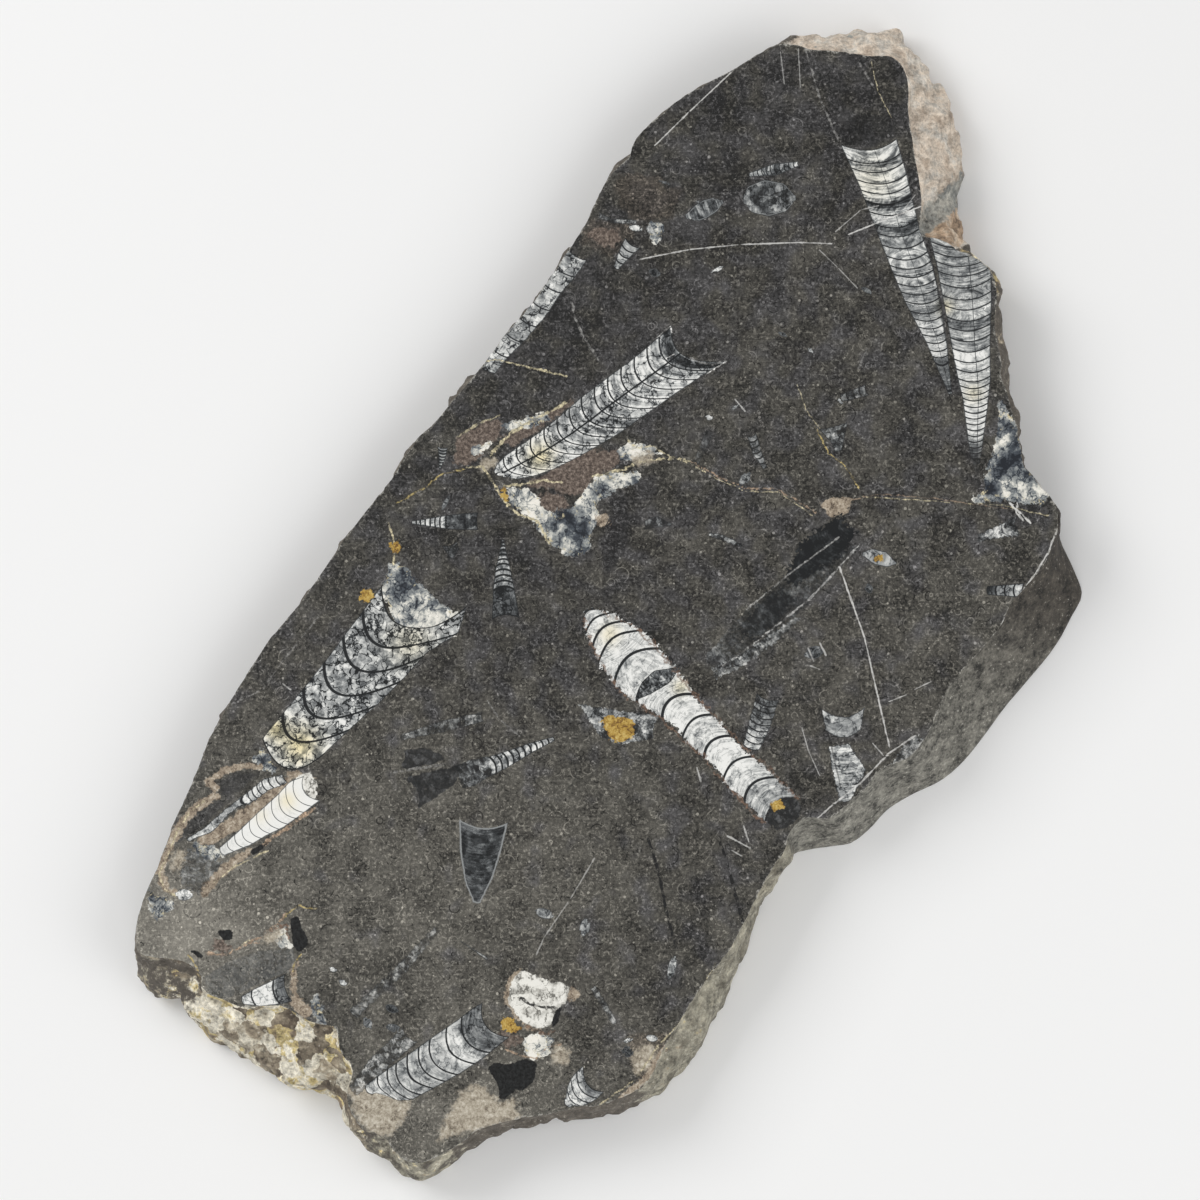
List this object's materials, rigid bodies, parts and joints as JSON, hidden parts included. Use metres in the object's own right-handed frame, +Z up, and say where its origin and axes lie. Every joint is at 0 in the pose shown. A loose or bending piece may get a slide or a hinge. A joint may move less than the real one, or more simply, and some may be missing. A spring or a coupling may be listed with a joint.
{
  "type": "orthoceras fossil slab",
  "caption": "Natural-edged slab of dark fossil limestone with a flat polished face showing straight chambered shells, broken and sawn sides, and a flat sawn base to rest on.",
  "frame": {"origin": "middle of the sawn base, below the middle of the slab's outline", "axes": "+Z up out of the polished face, +Y along the slab's longer side towards its narrow upper end, +X to the right across it"},
  "size_m": [0.3159, 0.386, 0.024],
  "materials": {
    "fossil_limestone": "satin"
  },
  "bodies": {
    "root": {"fossil_slab": "fossil_limestone"}
  },
  "joints": []
}
